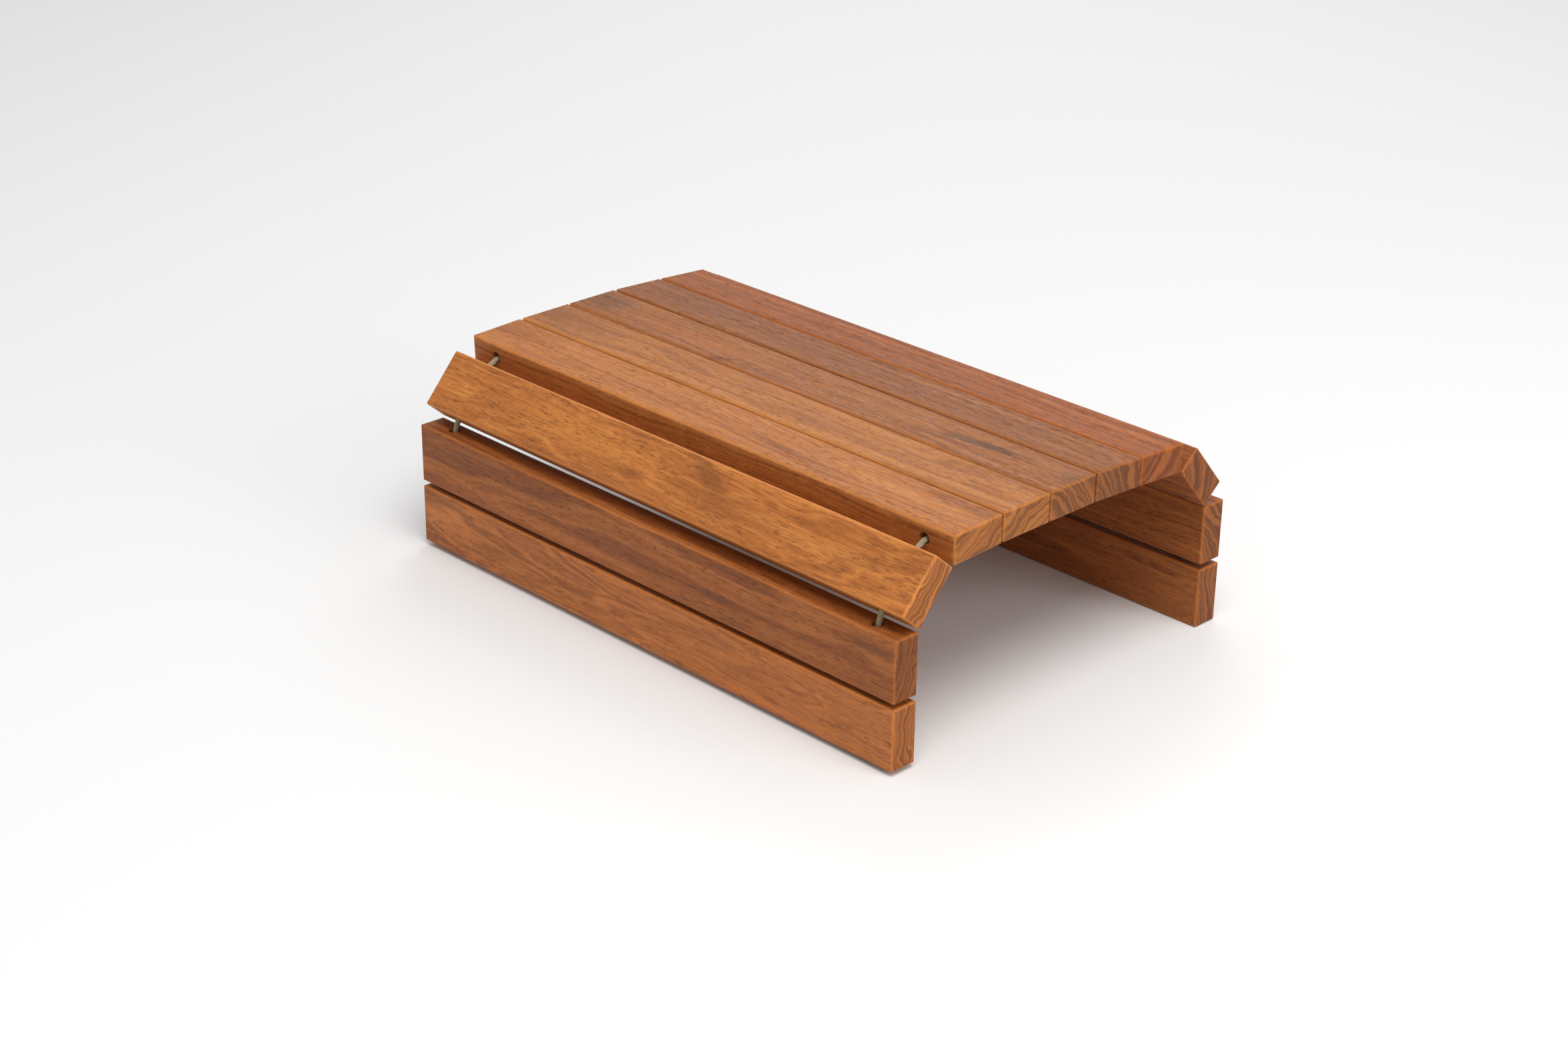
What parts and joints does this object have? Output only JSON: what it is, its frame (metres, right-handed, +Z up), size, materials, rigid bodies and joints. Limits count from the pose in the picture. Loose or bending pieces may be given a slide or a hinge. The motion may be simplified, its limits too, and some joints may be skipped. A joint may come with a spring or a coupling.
{
  "type": "sofa arm tray",
  "caption": "Flexible wooden tray that drapes over a sofa arm: solid slats strung side by side on two cords, flat on top and hanging down both sides.",
  "frame": {"origin": "centre of the underside of the centre top slat, where the tray rests on the sofa arm", "axes": "+X along the slats, towards the right end as seen from the near side; +Y across the slats, from the near side to the far side; +Z up"},
  "size_m": [0.4, 0.2769, 0.1296],
  "materials": {
    "wood_golden": "satin oiled hardwood, golden brown",
    "wood_smoky": "satin oiled hardwood with a darker smoky streak",
    "wood_red": "satin oiled hardwood, reddish brown",
    "wood_brown": "satin oiled hardwood, darker brown",
    "cord": "braided cord, undyed"
  },
  "bodies": {
    "centre": {"top_slat_centre": "wood_smoky"},
    "top_near_inner": {"top_slat_near_inner": "wood_golden", "cord_left_near_1": "cord", "cord_right_near_1": "cord"},
    "top_near_outer": {"top_slat_near_outer": "wood_golden", "cord_left_near_2": "cord", "cord_right_near_2": "cord"},
    "shoulder_near": {"shoulder_slat_near": "wood_golden", "cord_left_near_3": "cord", "cord_right_near_3": "cord"},
    "side_near_upper": {"side_slat_near_upper": "wood_brown", "cord_left_near_4": "cord", "cord_right_near_4": "cord"},
    "side_near_lower": {"side_slat_near_lower": "wood_brown", "cord_left_near_5": "cord", "cord_right_near_5": "cord", "cord_left_near_end": "cord", "cord_left_near_knot": "cord", "cord_right_near_end": "cord", "cord_right_near_knot": "cord"},
    "top_far_inner": {"top_slat_far_inner": "wood_red", "cord_left_far_1": "cord", "cord_right_far_1": "cord"},
    "top_far_outer": {"top_slat_far_outer": "wood_red", "cord_left_far_2": "cord", "cord_right_far_2": "cord"},
    "shoulder_far": {"shoulder_slat_far": "wood_red", "cord_left_far_3": "cord", "cord_right_far_3": "cord"},
    "side_far_upper": {"side_slat_far_upper": "wood_red", "cord_left_far_4": "cord", "cord_right_far_4": "cord"},
    "side_far_lower": {"side_slat_far_lower": "wood_red", "cord_left_far_5": "cord", "cord_right_far_5": "cord", "cord_left_far_end": "cord", "cord_left_far_knot": "cord", "cord_right_far_end": "cord", "cord_right_far_knot": "cord"}
  },
  "joints": [
    {"name": "fold_near_1", "type": "hinge", "parent": "centre", "child": "top_near_inner", "pos_m": [0, -0.0191, 0], "axis": [1, 0, 0], "range_deg": [-0.4, 19.6], "deforming": ["cord_left_near_1", "cord_right_near_1"]},
    {"name": "fold_near_2", "type": "hinge", "parent": "top_near_inner", "child": "top_near_outer", "pos_m": [0, -0.0573, -0.00027], "axis": [1, 0, 0], "range_deg": [-1.8, 18.2], "deforming": ["cord_left_near_2", "cord_right_near_2"]},
    {"name": "fold_near_3", "type": "hinge", "parent": "top_near_outer", "child": "shoulder_near", "pos_m": [0, -0.09547, -0.00173], "axis": [1, 0, 0], "range_deg": [-46.8, 13.2], "deforming": ["cord_left_near_3", "cord_right_near_3"]},
    {"name": "fold_near_4", "type": "hinge", "parent": "shoulder_near", "child": "side_near_upper", "pos_m": [0, -0.12053, -0.03056], "axis": [1, 0, 0], "range_deg": [-41, 9], "deforming": ["cord_left_near_4", "cord_right_near_4"]},
    {"name": "fold_near_5", "type": "hinge", "parent": "side_near_upper", "child": "side_near_lower", "pos_m": [0, -0.12953, -0.06991], "axis": [1, 0, 0], "range_deg": [-15, 15], "deforming": ["cord_left_near_5", "cord_right_near_5"]},
    {"name": "fold_far_1", "type": "hinge", "parent": "centre", "child": "top_far_inner", "pos_m": [0, 0.0191, 0], "axis": [-1, 0, 0], "range_deg": [-2.9, 17.1], "deforming": ["cord_left_far_1", "cord_right_far_1"]},
    {"name": "fold_far_2", "type": "hinge", "parent": "top_far_inner", "child": "top_far_outer", "pos_m": [0, 0.05725, -0.00193], "axis": [-1, 0, 0], "range_deg": [-0.8, 19.2], "deforming": ["cord_left_far_2", "cord_right_far_2"]},
    {"name": "fold_far_3", "type": "hinge", "parent": "top_far_outer", "child": "shoulder_far", "pos_m": [0, 0.09537, -0.0044], "axis": [-1, 0, 0], "range_deg": [-45.3, 14.7], "deforming": ["cord_left_far_3", "cord_right_far_3"]},
    {"name": "fold_far_4", "type": "hinge", "parent": "shoulder_far", "child": "side_far_upper", "pos_m": [0, 0.12043, -0.03323], "axis": [-1, 0, 0], "range_deg": [-41, 9], "deforming": ["cord_left_far_4", "cord_right_far_4"]},
    {"name": "fold_far_5", "type": "hinge", "parent": "side_far_upper", "child": "side_far_lower", "pos_m": [0, 0.12943, -0.07258], "axis": [-1, 0, 0], "range_deg": [-15, 15], "deforming": ["cord_left_far_5", "cord_right_far_5"]}
  ]
}
